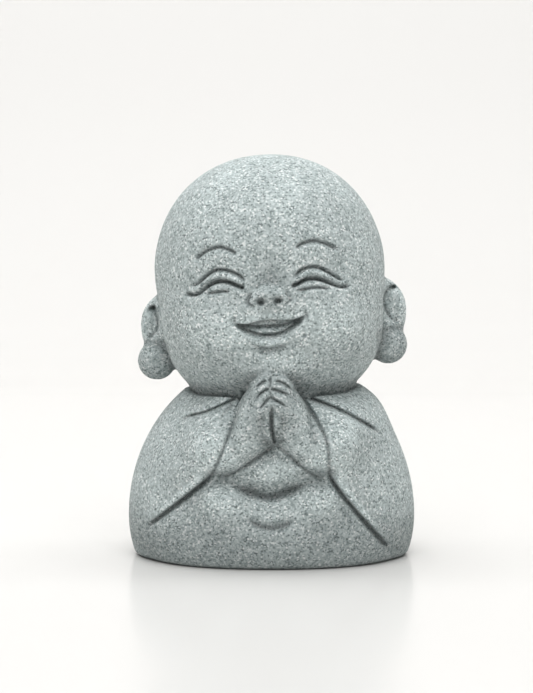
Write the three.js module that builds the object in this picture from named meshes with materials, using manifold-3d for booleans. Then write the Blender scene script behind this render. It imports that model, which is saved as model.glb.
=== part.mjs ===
// A laughing baby monk that sits with its hands pressed together, cast as one solid piece of sandstone.
// Millimetres, +Z up. The figure faces -Y, and the origin is the middle of its flat underside.
// Right and left are those of someone who looks at the figure's face.
import * as THREE from "three";
import { mergeVertices } from "three/addons/utils/BufferGeometryUtils.js";
import Module from "manifold-3d";

const wasm = await Module();
wasm.setup();

// Driving dimensions
const TOTAL_HEIGHT = 100;
const BODY_WIDTH = 71.8;
const BODY_DEPTH = 60;
const HEAD_WIDTH = 57.4;
const HEAD_DEPTH = 57;
const HEAD_HEIGHT = 62.4;
const HEAD_TILT_DEG = 3.5;
const EAR_HEIGHT = 22;

// How finely the round forms are faceted
const HEAD_DETAIL = 8;
const BODY_SIDES = 40;
const ARM_FACETS = { around: 12, along: 14 };
const FINGER_FACETS = { around: 6, along: 6 };
const FACE_ROLL_FACETS = { around: 6, along: 10 };
const FACE_BALL_FACETS = { around: 8, along: 6 };
const NOSTRIL_FACETS = { around: 6, along: 4 };
const EAR_SHELL_FACETS = { around: 16, along: 10 };
const EAR_CUP_FACETS = { around: 12, along: 8 };
const EAR_LOBE_FACETS = { around: 14, along: 9 };
const WELD_DISTANCE = 1e-4;

// The colour and finish of the cast
const SANDSTONE_COLOUR = "#9aa3a0";
const SANDSTONE_ROUGHNESS = 0.9;

const LEFT = -1;
const RIGHT = 1;
const SIDES = [LEFT, RIGHT];

// Small helpers

const clamp01 = (value) => Math.min(Math.max(value, 0), 1);

// 0 up to the start, 1 from the end on, and smooth between them
function smoothRise(value, start, end) {
  const share = clamp01((value - start) / (end - start));
  return share * share * (3 - 2 * share);
}

// A soft hill of height 1 at its middle, in two directions
function hill(across, up, spreadAcross, spreadUp) {
  return Math.exp(-((across / spreadAcross) ** 2) - (up / spreadUp) ** 2);
}

// The sum of a list of swellings, each [x, z, height, spread across, spread up], at one place of the front view
function swelling(list, x, z) {
  const heights = list.map(([midX, midZ, height, wide, tall]) => height * hill(x - midX, z - midZ, wide, tall));
  return heights.reduce((sum, height) => sum + height, 0);
}

// A closed three.js geometry as a solid that can be joined and cut
function solidOf(geometry) {
  const bare = geometry.clone();
  bare.deleteAttribute("normal");
  bare.deleteAttribute("uv");
  const merged = mergeVertices(bare, WELD_DISTANCE);
  const mesh = new wasm.Mesh({
    numProp: 3,
    vertProperties: merged.attributes.position.array,
    triVerts: new Uint32Array(merged.index.array),
  });
  return new wasm.Manifold(mesh);
}

// Moves every vertex of a geometry by a function from its place to its new place
function reshape(geometry, move) {
  const position = geometry.attributes.position;
  const place = new THREE.Vector3();
  for (let index = 0; index < position.count; index += 1) {
    place.fromBufferAttribute(position, index);
    position.setXYZ(index, ...move(place).toArray());
  }
  return geometry;
}

const joined = (solids) => solids.reduce((sum, solid) => sum.add(solid));
const cutBy = (solid, cutters) => cutters.reduce((left, cutter) => left.subtract(cutter), solid);

// An ellipsoid with its own half axes, turned about the vertical by a yaw in degrees
function ellipsoid({ at, half, yaw = 0, around = 16, along = 10 }) {
  const geometry = new THREE.SphereGeometry(1, around, along);
  geometry.rotateX(Math.PI / 2);
  geometry.scale(...half);
  geometry.rotateZ(THREE.MathUtils.degToRad(yaw));
  geometry.translate(...at);
  return geometry;
}

// A roll along a smooth curve: a sphere that is drawn out, bent, and closed at both ends.
// widths and depths are half sizes at evenly spaced shares of the curve, and blunt ends have a low exponent.
function roll({ path, widths, depths = widths, outward, blunt = 1, around = 8, along = 12 }) {
  const curve = new THREE.CatmullRomCurve3(path);
  const sizeAt = (sizes, share) => {
    const step = share * (sizes.length - 1);
    const index = Math.floor(step);
    const next = Math.min(index + 1, sizes.length - 1);
    return THREE.MathUtils.lerp(sizes[index], sizes[next], step - index);
  };
  return reshape(new THREE.SphereGeometry(1, around, along), (unit) => {
    const ringSize = Math.hypot(unit.x, unit.z);
    const share = clamp01((1 - unit.y) / 2);
    const centre = curve.getPoint(share);
    const forward = curve.getTangent(share);
    const side = outward(centre).cross(forward).normalize();
    const out = forward.clone().cross(side);
    const fullness = ringSize > WELD_DISTANCE ? ringSize ** blunt / ringSize : 0;
    return centre
      .addScaledVector(side, unit.x * fullness * sizeAt(widths, share))
      .addScaledVector(out, unit.z * fullness * sizeAt(depths, share));
  });
}

// The body: a bell with a super-elliptical plan, in a robe that opens in front over the arms, belly and lap

const BELL_WIDEST_AT = 10;
const BELL_RISE = 39.5;
const BELL_FALL = 32;
const BELL_PLAN = 2.2;
const BELL_TOP = 47;
const FOOT_ROUNDING = 1.3;
const RING_HEIGHTS = [FOOT_ROUNDING, 5, 10, 15, 19, 23, 27, 31, 35, 39, 43, BELL_TOP];

// The share of the full width and depth that is left at a height
function bellShare(z) {
  const reach = z > BELL_WIDEST_AT ? BELL_RISE : BELL_FALL;
  return Math.sqrt(Math.max(1 - ((z - BELL_WIDEST_AT) / reach) ** 2, 0));
}

// Where the body's plain front is, at a place seen from the front
function bellFront(x, z) {
  const share = bellShare(z);
  const across = clamp01(Math.abs(x) / (share * (BODY_WIDTH / 2)));
  return -share * (BODY_DEPTH / 2) * (1 - across ** BELL_PLAN) ** (1 / BELL_PLAN);
}

// The bell as a turned profile that is stretched to its plan, pushed outwards by a relief seen from the front
function bell(relief) {
  const profile = [new THREE.Vector2(0, 0), new THREE.Vector2(1, 0)];
  RING_HEIGHTS.forEach((height) => profile.push(new THREE.Vector2(1, height)));
  profile.push(new THREE.Vector2(0, BELL_TOP));
  const turned = new THREE.LatheGeometry(profile, BODY_SIDES);
  turned.rotateX(Math.PI / 2);
  return reshape(turned, (place) => {
    const reach = Math.hypot(place.x, place.y);
    if (reach < WELD_DISTANCE) return place.clone();
    const [alongX, alongY] = [place.x / reach, place.y / reach];
    const across = (Math.abs(alongX) / (BODY_WIDTH / 2)) ** BELL_PLAN;
    const back = (Math.abs(alongY) / (BODY_DEPTH / 2)) ** BELL_PLAN;
    const plain = bellShare(place.z) * (across + back) ** (-1 / BELL_PLAN);
    const foot = place.z < FOOT_ROUNDING / 2 ? FOOT_ROUNDING : 0;
    const radius = plain - foot + relief(plain * alongX, place.z, plain * alongY);
    return new THREE.Vector3(radius * alongX, radius * alongY, place.z);
  });
}

// How much a place counts as the front: 0 at the sides and the back, 1 well forward
const FRONT_BLEND = [4, 16];
const frontShare = (y) => smoothRise(-y, ...FRONT_BLEND);

// Sleeves stand out over the forearms, and the right shoulder is a little higher than the left
const ROBE_SWELLINGS = [
  [-13.5, 32, 3.2, 7.5, 8],
  [13.5, 32, 3.2, 7.5, 8],
  [-17, 22, 1.0, 6, 6],
  [17, 20, 1.0, 6, 7],
];
const RIGHT_SHOULDER = { x: 25, z: 40, swell: 1.9, wide: 9, tall: 9 };

function robeRelief(x, z, y) {
  const { x: midX, z: midZ, swell, wide, tall } = RIGHT_SHOULDER;
  return frontShare(y) * swelling(ROBE_SWELLINGS, x, z) + swell * hill(x - midX, z - midZ, wide, tall);
}

// Inside the robe's opening the lap lies lower than the robe, and dips to the belly along a U
const LAP_INSET = 1.5;
const LAP_FADE_X = [16, 29];
const LAP_FADE_Z = [-4, 13];
const LAP_PROUD = 0.3;
const LAP_DIP = 1.6;
const LAP_DIP_REACH = 5;
const CHEST_FROM_Z = [23, 31];
const U_LINE = { bottom: 18, rise: 4.2, halfWidth: 11 };

const uLineHeight = (x) => U_LINE.bottom + U_LINE.rise * (x / U_LINE.halfWidth) ** 2;

function lapRelief(x, z, y) {
  const across = 1 - smoothRise(Math.abs(x), ...LAP_FADE_X);
  const lap = smoothRise(z, ...LAP_FADE_Z);
  const chest = smoothRise(z, ...CHEST_FROM_Z);
  const dip = LAP_DIP * smoothRise(z, uLineHeight(x) - LAP_DIP_REACH, uLineHeight(x)) * (1 - chest);
  return LAP_PROUD - frontShare(y) * (LAP_INSET * across * lap + dip + LAP_PROUD * lap);
}

// The edges of the robe's opening, from the neck down to where they run out, each point [x, z]
const LEFT_HEM = [[-8.4, 41], [-10.6, 33], [-14.1, 24.3], [-19.7, 18.8], [-29.2, 10.5]];
const RIGHT_HEM = [[8.1, 41], [12.8, 33.5], [14.3, 24], [18.5, 16.5], [27.7, 4.7]];
const OPENING_STEPS = 7;
const OPENING_FRONT = -40;
const OPENING_BACK = -8;

function robeOpening() {
  const along = (points) => {
    const curve = new THREE.SplineCurve(points.map(([x, z]) => new THREE.Vector2(x, z)));
    return curve.getPoints(OPENING_STEPS);
  };
  const outline = new THREE.Shape([...along(LEFT_HEM), ...along(RIGHT_HEM).reverse()]);
  const depth = OPENING_BACK - OPENING_FRONT;
  const prism = new THREE.ExtrudeGeometry(outline, { depth, bevelEnabled: false });
  prism.rotateX(Math.PI / 2);
  prism.translate(0, OPENING_BACK, 0);
  return solidOf(prism);
}

const outwardFromAxis = (place) => new THREE.Vector3(place.x, place.y, 0).normalize();
const straightAhead = () => new THREE.Vector3(0, -1, 0);

// A place on the front of the robe or of the lap
function onFront([x, z], relief) {
  const y = bellFront(x, z);
  return new THREE.Vector3(x, y - relief(x, z, y), z);
}

// Pressed folds where the robe bunches under the chin, running out over the shoulders
const SHOULDER_FOLDS = [
  { points: [[-9, 40.6], [-14.3, 38.4], [-19, 36.7], [-23.5, 34.8]], width: 1.0, depth: 0.9 },
  { points: [[10, 39.6], [17.9, 36.9], [23, 33.5], [28, 29.8]], width: 0.9, depth: 1.2 },
];
const HEM_GROOVE = { width: 1.0, depth: 1.3 };

function pressedFold({ points, width, depth, relief = robeRelief }) {
  const path = points.map((point) => onFront(point, relief));
  return solidOf(roll({ path, widths: [width], depths: [depth], outward: outwardFromAxis }));
}

// The lower hems are undercut, deepest beside the lap
const hemGrooves = [
  { points: [[-13.2, 24.4], [-19, 18.3], [-24.2, 14], [-29.4, 9.8]], ...HEM_GROOVE },
  { points: [[13.6, 24.5], [17.6, 16.6], [22, 11], [27.9, 4.2]], ...HEM_GROOVE },
];

// The round belly between the forearms and the lap, and the soft fold below it
const BELLY = { at: [0, -17.6, 24.6], half: [17, 11.2, 9.4], around: 24, along: 14 };
const SMILE_FOLD = {
  points: [[-7, 13.7], [-3.6, 11.2], [0, 10.4], [3.4, 11.2], [6.2, 13.4]],
  width: 0.8,
  depth: 1.0,
  relief: lapRelief,
};

// The arms: forearms that come out of the sleeves, hands that meet palm to palm, four fingers on each
const ARM_PATH = [
  [17, -15.5, 23.5],
  [11, -22.5, 27],
  [5.4, -25.6, 32],
  [4.2, -25.4, 38.4],
  [2.4, -25.6, 44],
  [1.4, -26.2, 46.4],
];
const ARM_WIDTHS = [4.6, 5.3, 5.5, 4.4, 2.9, 1.8];
const ARM_DEPTHS = [4.6, 5.5, 6.6, 6.4, 4.6, 2.6];
const FINGER_RADIUS = 1.15;
const FINGERS = [
  { tip: [-0.7, -30.3, 42.0], root: [4.2, -30.2, 37.6] },
  { tip: [-0.7, -30.3, 43.8], root: [4.8, -29.6, 39.8] },
  { tip: [-0.6, -29.9, 45.5], root: [5.2, -28.6, 42.0] },
  { tip: [-0.3, -29.1, 47.0], root: [5.2, -27.4, 44.2] },
];
const FINGER_BULGE = 0.6;
const ARM_BLUNTNESS = 0.5;
const FINGER_BLUNTNESS = 0.6;

const mirrored = (side, [x, y, z]) => new THREE.Vector3(side * x, y, z);

function arm(side) {
  const path = ARM_PATH.map((point) => mirrored(side, point));
  const sizes = { widths: ARM_WIDTHS, depths: ARM_DEPTHS };
  return solidOf(roll({ path, ...sizes, outward: straightAhead, blunt: ARM_BLUNTNESS, ...ARM_FACETS }));
}

function finger(side, { tip, root }) {
  const ends = [mirrored(side, tip), mirrored(side, root)];
  const middle = ends[0].clone().lerp(ends[1], 0.5);
  middle.y -= FINGER_BULGE;
  middle.z += FINGER_BULGE;
  const path = [ends[0], middle, ends[1]];
  const size = { widths: [FINGER_RADIUS], blunt: FINGER_BLUNTNESS };
  return solidOf(roll({ path, ...size, outward: straightAhead, ...FINGER_FACETS }));
}

function trunk() {
  const robe = solidOf(bell(robeRelief));
  const scoop = robeOpening().subtract(solidOf(bell(lapRelief)));
  const folds = [...SHOULDER_FOLDS, ...hemGrooves, SMILE_FOLD].map(pressedFold);
  const arms = SIDES.flatMap((side) => [arm(side), ...FINGERS.map((each) => finger(side, each))]);
  return joined([cutBy(robe.subtract(scoop), folds), solidOf(ellipsoid(BELLY)), ...arms]);
}

// The head: a round form, broader at the cheeks, in its own frame, which leans a little to one side

const HEAD_RISE = 29.9;
const HEAD_AT = [-0.4, -1.5, TOTAL_HEIGHT - HEAD_RISE];
const HEAD_DROP = HEAD_HEIGHT - HEAD_RISE;
const HEAD_PLAN = 2.15;
const CROWN_ROUNDNESS = 2.12;
const JAW_ROUNDNESS = 2.8;
const CROWN_BLEND = [-0.35, 0.35];
const FACE_BLEND = [0.1, 0.6];
const FRONT_SOLVE_STEPS = 24;

// Swellings of the face: cheeks, muzzle, chin and forehead stand out, eye sockets and nose root sink
const FACE_SWELLINGS = [
  [-14.5, -9, 1.6, 8, 7],
  [14.5, -9, 1.6, 8, 7],
  [0, -10, 0.8, 7, 5],
  [0, -19.5, 1.2, 6, 4],
  [0, 17, 0.6, 14, 9],
  [-12, 1, -0.7, 6, 4],
  [12, 1, -0.7, 6, 4],
  [0, 3, -0.8, 4, 5],
];

function headRadius(direction) {
  const crown = smoothRise(direction.z, ...CROWN_BLEND);
  const roundness = THREE.MathUtils.lerp(JAW_ROUNDNESS, CROWN_ROUNDNESS, crown);
  const vertical = Math.abs(direction.z) / (direction.z > 0 ? HEAD_RISE : HEAD_DROP);
  const across = (Math.abs(direction.x) / (HEAD_WIDTH / 2)) ** HEAD_PLAN;
  const back = (Math.abs(direction.y) / (HEAD_DEPTH / 2)) ** HEAD_PLAN;
  const plan = (across + back) ** (1 / HEAD_PLAN);
  const plain = (plan ** roundness + vertical ** roundness) ** (-1 / roundness);
  const front = smoothRise(-direction.y, ...FACE_BLEND);
  return plain + front * swelling(FACE_SWELLINGS, plain * direction.x, plain * direction.z);
}

// A place on the face, given as [x, z] in the head's frame, lifted outwards or sunk
function onFace([x, z], lift = 0) {
  const place = new THREE.Vector3(x, -HEAD_DEPTH / 2, z);
  for (let step = 0; step < FRONT_SOLVE_STEPS; step += 1) {
    const radius = headRadius(place.clone().normalize());
    place.y = -Math.sqrt(Math.max(radius ** 2 - x ** 2 - z ** 2, 0));
  }
  return place.setLength(place.length() + lift);
}

const outwardFromHead = (place) => place.clone().normalize();

// A roll that lies on the face along a few places, or cuts a groove there
function faceRoll({ points, lift = 0, width, depth, facets = FACE_ROLL_FACETS }) {
  const path = points.map((point) => onFace(point, lift));
  return solidOf(roll({ path, widths: [width], depths: [depth], outward: outwardFromHead, ...facets }));
}

// The face's middle line is a little left of the head's, and the right eye is a little lower
const FACE_MIDDLE = -0.35;
const RIGHT_EYE_DROP = 0.5;

// Places on one half of the face, each given as [distance from the face's middle line, height]
function onSide(side, points, drop = 0) {
  return points.map(([out, z]) => [side * out + FACE_MIDDLE, z - drop]);
}

const UPPER_LID = {
  points: [[19.6, -2.2], [16.2, -0.4], [12, 1.5], [8.6, 0.7], [5.8, -0.9]],
  lift: 0,
  width: 1.35,
  depth: 1.1,
};
const LID_CREASE = {
  points: [[19.4, -0.9], [16, 1.5], [11.8, 3.3], [8.2, 2.4], [5.4, -0.2]],
  lift: 0.2,
  width: 0.45,
  depth: 0.8,
};
const EYE_SLIT = {
  points: [[20, -2.8], [16.4, -2.1], [11.9, -0.3], [8.4, -0.9], [5.4, -1.9]],
  lift: 0.5,
  width: 0.5,
  depth: 1.5,
};
const LOWER_LID = {
  points: [[16.6, -3], [12, -1.6], [8.4, -2], [6, -2.7]],
  lift: -0.1,
  width: 0.8,
  depth: 0.7,
};
const BROW = {
  points: [[17, 5.6], [14.4, 7.9], [11.5, 8.8], [8.8, 8.1], [6.8, 6.6]],
  lift: 0.2,
  width: 0.6,
  depth: 0.8,
};

function eyes(build) {
  return SIDES.flatMap((side) => build(side, side === RIGHT ? RIGHT_EYE_DROP : 0));
}

const NOSE_TIP = { place: [FACE_MIDDLE, -3.7], lift: 0.3, half: [3.6, 2.5, 2.4] };
const NOSTRIL_WING = { out: 3.0, z: -4.6, lift: 0.1, half: [2.0, 1.9, 1.9] };
const NOSTRIL = { out: 1.9, z: -4.9, lift: 1.9, half: [0.7, 1.6, 0.6], facets: NOSTRIL_FACETS };

function faceBall({ place, lift, half, facets = FACE_BALL_FACETS }) {
  return solidOf(ellipsoid({ at: onFace(place, lift).toArray(), half, ...facets }));
}

function faceBallPair({ out, z, ...ball }) {
  return SIDES.map((side) => faceBall({ place: [side * out + FACE_MIDDLE, z], ...ball }));
}

// The open smile is a crescent sunk into the face, with the tongue in it and the lower lip below
const MOUTH = {
  points: [[-9, -9.8], [-4.6, -11.2], [-0.6, -11.7], [3.6, -11.1], [7.9, -8.9]],
  lift: 0,
  width: 1.9,
  depth: 2.1,
  facets: { around: 6, along: 14 },
};
const TONGUE = { points: [[-4.7, -12], [-0.6, -12.7], [3.6, -11.9]], lift: -1.5, width: 1.1, depth: 1.0 };
const LOWER_LIP = { points: [[-6, -13], [-0.6, -14.6], [4.8, -12.7]], lift: -0.1, width: 0.9, depth: 0.8 };
const UNDER_LIP = { points: [[-4.4, -15.4], [-0.6, -16.2], [3.4, -15.2]], lift: 0.3, width: 0.7, depth: 0.8 };

// The ears: a cupped upper part that flares forward, and a heavy round lobe
const EAR_YAW = 40;
const EAR_TOP = -2.6;
const EAR_SHELL_MIDDLE = EAR_TOP - 7.2;
const EAR_NECK_MIDDLE = EAR_TOP - 13;
const EAR_LOBE_HALF_HEIGHT = 4.9;
const EAR_LOBE_MIDDLE = EAR_TOP - EAR_HEIGHT + EAR_LOBE_HALF_HEIGHT;
const EAR_SHELL = { at: [28.4, 3.6, EAR_SHELL_MIDDLE], half: [6.4, 3.0, 7.2], ...EAR_SHELL_FACETS };
const EAR_CUP = { at: [29.6, 1.0, EAR_SHELL_MIDDLE], half: [3.8, 2.4, 4.9], ...EAR_CUP_FACETS };
const EAR_NECK = { at: [29.0, 3.2, EAR_NECK_MIDDLE], half: [4.4, 3.2, 5.2], ...EAR_CUP_FACETS };
const EAR_LOBE_HALF = [4.9, 4.6, EAR_LOBE_HALF_HEIGHT];
const EAR_LOBE = { at: [29.2, 2.6, EAR_LOBE_MIDDLE], half: EAR_LOBE_HALF, ...EAR_LOBE_FACETS };

function ear(side) {
  const piece = ({ at: [x, y, z], ...form }) => {
    return solidOf(ellipsoid({ at: [side * x + FACE_MIDDLE, y, z], yaw: side * EAR_YAW, ...form }));
  };
  const cupped = piece(EAR_SHELL).subtract(piece(EAR_CUP));
  return joined([cupped, piece(EAR_NECK), piece(EAR_LOBE)]);
}

function head() {
  const skull = new THREE.IcosahedronGeometry(1, HEAD_DETAIL);
  const onSkull = (unit) => unit.clone().setLength(headRadius(unit.clone().normalize()));
  const form = solidOf(reshape(skull, onSkull));
  const raised = [
    faceBall(NOSE_TIP),
    ...faceBallPair(NOSTRIL_WING),
    ...eyes((side, drop) => [
      faceRoll({ ...UPPER_LID, points: onSide(side, UPPER_LID.points, drop) }),
      faceRoll({ ...LOWER_LID, points: onSide(side, LOWER_LID.points, drop) }),
    ]),
    faceRoll(LOWER_LIP),
  ];
  const sunk = [
    ...eyes((side, drop) => [
      faceRoll({ ...LID_CREASE, points: onSide(side, LID_CREASE.points, drop) }),
      faceRoll({ ...EYE_SLIT, points: onSide(side, EYE_SLIT.points, drop) }),
      faceRoll({ ...BROW, points: onSide(side, BROW.points) }),
    ]),
    ...faceBallPair(NOSTRIL),
    faceRoll(MOUTH),
    faceRoll(UNDER_LIP),
  ];
  const carved = cutBy(joined([form, ...raised]), sunk);
  const upright = joined([carved, faceRoll(TONGUE), ...SIDES.map(ear)]);
  return upright.rotate([0, -HEAD_TILT_DEG, 0]).translate(HEAD_AT);
}

// The whole cast, as one named mesh

function meshOf(name, solid) {
  const { vertProperties, triVerts } = solid.getMesh();
  const geometry = new THREE.BufferGeometry();
  geometry.setAttribute("position", new THREE.BufferAttribute(vertProperties, 3));
  geometry.setIndex(new THREE.BufferAttribute(triVerts, 1));
  geometry.computeVertexNormals();
  const material = new THREE.MeshStandardMaterial({
    color: SANDSTONE_COLOUR,
    roughness: SANDSTONE_ROUGHNESS,
    metalness: 0,
    flatShading: true,
  });
  const mesh = new THREE.Mesh(geometry, material);
  mesh.name = name;
  return mesh;
}

const statue = new THREE.Group();
statue.add(meshOf("buddha_figure", trunk().add(head())));

export default statue;
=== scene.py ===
# %% [markdown]
# # A laughing baby monk, cast in sandstone
# The real object is a desk figure, taken to be 100 mm tall. Such figures are mostly cast from sand and resin
# in a rubber mould, so the whole figure is one stone-coloured piece with no seams. It is made here as a
# sculptor would make the model for that mould: plain masses first, then one joined skin, then the carving,
# then the sand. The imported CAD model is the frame, and it gives the scale.

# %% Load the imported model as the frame
import math

import bmesh
import bpy
import numpy as np
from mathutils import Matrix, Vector
from mathutils.kdtree import KDTree


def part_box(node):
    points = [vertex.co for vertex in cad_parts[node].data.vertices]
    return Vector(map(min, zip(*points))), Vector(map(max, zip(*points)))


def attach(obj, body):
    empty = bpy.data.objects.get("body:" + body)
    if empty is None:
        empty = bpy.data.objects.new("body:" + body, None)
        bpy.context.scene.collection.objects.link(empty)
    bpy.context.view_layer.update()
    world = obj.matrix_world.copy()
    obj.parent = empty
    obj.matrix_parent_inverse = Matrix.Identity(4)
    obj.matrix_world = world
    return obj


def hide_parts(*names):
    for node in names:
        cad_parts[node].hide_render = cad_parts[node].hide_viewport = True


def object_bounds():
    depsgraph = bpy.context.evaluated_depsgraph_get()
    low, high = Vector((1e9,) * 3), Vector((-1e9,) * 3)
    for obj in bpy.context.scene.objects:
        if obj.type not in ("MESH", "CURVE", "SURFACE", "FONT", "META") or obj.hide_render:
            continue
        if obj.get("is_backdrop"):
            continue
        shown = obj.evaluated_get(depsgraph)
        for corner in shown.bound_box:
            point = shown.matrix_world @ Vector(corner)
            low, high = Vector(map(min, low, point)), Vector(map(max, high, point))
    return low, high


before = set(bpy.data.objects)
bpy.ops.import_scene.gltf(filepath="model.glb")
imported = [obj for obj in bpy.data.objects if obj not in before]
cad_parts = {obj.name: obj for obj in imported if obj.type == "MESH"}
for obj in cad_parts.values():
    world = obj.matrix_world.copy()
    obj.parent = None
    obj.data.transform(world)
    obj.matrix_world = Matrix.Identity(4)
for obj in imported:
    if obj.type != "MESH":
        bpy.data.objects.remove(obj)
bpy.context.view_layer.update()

CAD_NODE = "buddha_figure"
FIGURE_HEIGHT = 100.0  # the figure's height in the model's own millimetres
box_low, box_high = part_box(CAD_NODE)
MM = (box_high.z - box_low.z) / FIGURE_HEIGHT
print("one millimetre of the figure is", round(MM, 7), "m")

# %% [markdown]
# ## The camera
# The photograph was taken from a little above the figure's middle, with a long lens from far away, so
# the head is hardly larger than it would be in a drawing. The lens is worked out from the picture's height
# and from how many pixels a length equal to its distance covers.

# %% The camera
IMAGE_HEIGHT_PX = 693
LENS_PX = 2402
SENSOR_MM = 36.0
CAMERA_AT = Vector((-1.26, -600.0, 100.0)) * MM
CAMERA_AIM = Vector((-1.26, 0.0, 52.0)) * MM

lens = bpy.data.cameras.new("studio_lens")
lens.sensor_fit = "VERTICAL"
lens.sensor_height = SENSOR_MM
lens.lens = LENS_PX / IMAGE_HEIGHT_PX * SENSOR_MM
lens.clip_start = 0.01
lens.clip_end = 50.0


def put_in_scene(name, data):
    """Makes an object of a mesh, a camera or a light."""
    item = bpy.data.objects.new(name, data)
    bpy.context.scene.collection.objects.link(item)
    return item


camera = put_in_scene("studio_camera", lens)
camera.location = CAMERA_AT
camera.rotation_euler = (CAMERA_AIM - CAMERA_AT).to_track_quat("-Z", "Y").to_euler()
bpy.context.scene.camera = camera
print("lens", round(lens.lens, 1), "mm")

# %% [markdown]
# ## Helpers for soft forms
# A sculptor thinks in soft rises, hills and lines drawn with a tool. These few functions say the same
# with numbers, for all the points of a mesh at once. Lengths are in the figure's millimetres.

# %% Soft rises, hills and smooth lines
def smooth_rise(value, start, end):
    """0 up to the start, 1 from the end on, and smooth between them."""
    share = np.clip((value - start) / (end - start), 0.0, 1.0)
    return share * share * (3.0 - 2.0 * share)


def hill(across, up, wide, tall):
    """A soft hill of height 1 at its middle."""
    return np.exp(-((across / wide) ** 2) - (up / tall) ** 2)


def swelling(hills, x, z):
    """The sum of hills, each (x, z, height, wide, tall), at places seen from the front."""
    return sum(height * hill(x - mid_x, z - mid_z, wide, tall) for mid_x, mid_z, height, wide, tall in hills)


def smooth_line(points, steps=12):
    """A smooth curve through the points, as many short steps."""
    points = np.array(points, float)
    ends = np.vstack([2 * points[0] - points[1], points, 2 * points[-1] - points[-2]])
    share = np.linspace(0.0, 1.0, steps, endpoint=False)[:, None]
    parts = []
    for before, start, end, after in zip(ends, ends[1:], ends[2:], ends[3:]):
        linear = (end - before) * share
        square = (2 * before - 5 * start + 4 * end - after) * share**2
        cube = (3 * start - before - 3 * end + after) * share**3
        parts.append(0.5 * (2 * start + linear + square + cube))
    return np.vstack([*parts, points[-1:]])


def along(line, share):
    """Places at shares of a line's length in steps."""
    at = share * (len(line) - 1)
    return np.stack([np.interp(at, np.arange(len(line)), axis) for axis in line.T], axis=1)


def nearest(line, across, up):
    """Each place's distance to a line, its side (1 on the left of the line's direction), and its share."""
    distance = np.full(len(across), np.inf)
    side = np.ones(len(across))
    share = np.zeros(len(across))
    pieces = len(line) - 1
    for index in range(pieces):
        start, reach = line[index], line[index + 1] - line[index]
        off_x, off_z = across - start[0], up - start[1]
        part = np.clip((off_x * reach[0] + off_z * reach[1]) / (reach @ reach), 0.0, 1.0)
        off_x, off_z = off_x - part * reach[0], off_z - part * reach[1]
        here = np.hypot(off_x, off_z)
        closer = here < distance
        distance[closer] = here[closer]
        side[closer] = np.sign(reach[0] * off_z - reach[1] * off_x)[closer]
        share[closer] = (index + part[closer]) / pieces
    return distance, side, share


# %% [markdown]
# Each mass is its own small closed mesh. It starts from one of Blender's own shapes, gets moved into its
# form, and goes into one block with the others.

# %% Helpers that shape a mass and put it in the block
block = bmesh.new()


def shape(piece, move):
    """Moves every point of a piece by a function from all places to all new places."""
    places = np.array([point.co for point in piece.verts])
    for point, place in zip(piece.verts, move(places)):
        point.co = place


def put_in_block(piece, name):
    """Adds a closed piece to the block, with its faces turned outwards."""
    bmesh.ops.recalc_face_normals(piece, faces=piece.faces)
    loose = bpy.data.meshes.new(name)
    piece.to_mesh(loose)
    block.from_mesh(loose)
    print(name, "adds", len(loose.polygons), "faces")
    bpy.data.meshes.remove(loose)
    piece.free()


def roll(name, path, widths, depths, outward, blunt, around=24, rings=32):
    """A ball drawn out along a smooth path, such as an arm or a finger."""
    piece = bmesh.new()
    bmesh.ops.create_uvsphere(piece, u_segments=around, v_segments=rings, radius=1.0)
    line = smooth_line(path)
    heading = np.gradient(line, axis=0)

    def bend(unit):
        share = np.clip((1.0 - unit[:, 2]) / 2.0, 0.0, 1.0)
        centre, forward = along(line, share), along(heading, share)
        side = np.cross(outward(centre), forward)
        side /= np.linalg.norm(side, axis=1)[:, None]
        out = np.cross(forward, side)
        out /= np.linalg.norm(out, axis=1)[:, None]
        ring = np.hypot(unit[:, 0], unit[:, 1])
        fullness = np.where(ring > 1e-4, np.maximum(ring, 1e-4) ** (blunt - 1.0), 0.0)
        stations = np.linspace(0.0, 1.0, len(widths))
        wide = unit[:, 0] * fullness * np.interp(share, stations, widths)
        deep = unit[:, 1] * fullness * np.interp(share, stations, depths)
        return centre + side * wide[:, None] + out * deep[:, None]

    shape(piece, bend)
    put_in_block(piece, name)


def ball(name, at, half, sides=32, rings=24):
    """A round mass with its own half sizes."""
    piece = bmesh.new()
    bmesh.ops.create_uvsphere(piece, u_segments=sides, v_segments=rings, radius=1.0)
    shape(piece, lambda unit: unit * half + at)
    put_in_block(piece, name)


def straight_ahead(centre):
    return np.tile((0.0, -1.0, 0.0), (len(centre), 1))


# %% [markdown]
# ## The robed body
# The body is a soft bell that is wider than it is deep. A lathe gives the bell, so a profile of points is
# spun round the upright axis, and each ring is then stretched to the plan. The robe's sleeves and one
# shoulder swell out, and inside the robe's opening the lap and the chest lie lower.

# %% The bell and what stands out from it
BODY_HALF_WIDTH = 35.9
BODY_HALF_DEPTH = 30.0
BELL_WIDEST_AT = 10.0
BELL_RISE = 39.5
BELL_FALL = 32.0
BELL_PLAN = 2.2
BELL_TOP = 47.0
FOOT_ROUNDING = 0.7
FOOT_RECESS = 1.6  # the front draws back towards the foot
FOOT_RECESS_HEIGHT = 13.0
FRONT_BLEND = (4.0, 16.0)
ROBE_SWELLINGS = [
    (-13.5, 32.0, 3.2, 7.5, 8.0),
    (13.5, 32.0, 3.2, 7.5, 8.0),
    (-17.0, 22.0, 1.0, 6.0, 6.0),
    (17.0, 20.0, 1.0, 6.0, 7.0),
]
RIGHT_SHOULDER = (24.0, 40.5, 2.3, 9.0, 8.0)


def bell_share(z):
    reach = np.where(z > BELL_WIDEST_AT, BELL_RISE, BELL_FALL)
    return np.sqrt(np.maximum(1.0 - ((z - BELL_WIDEST_AT) / reach) ** 2, 0.0))


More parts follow.
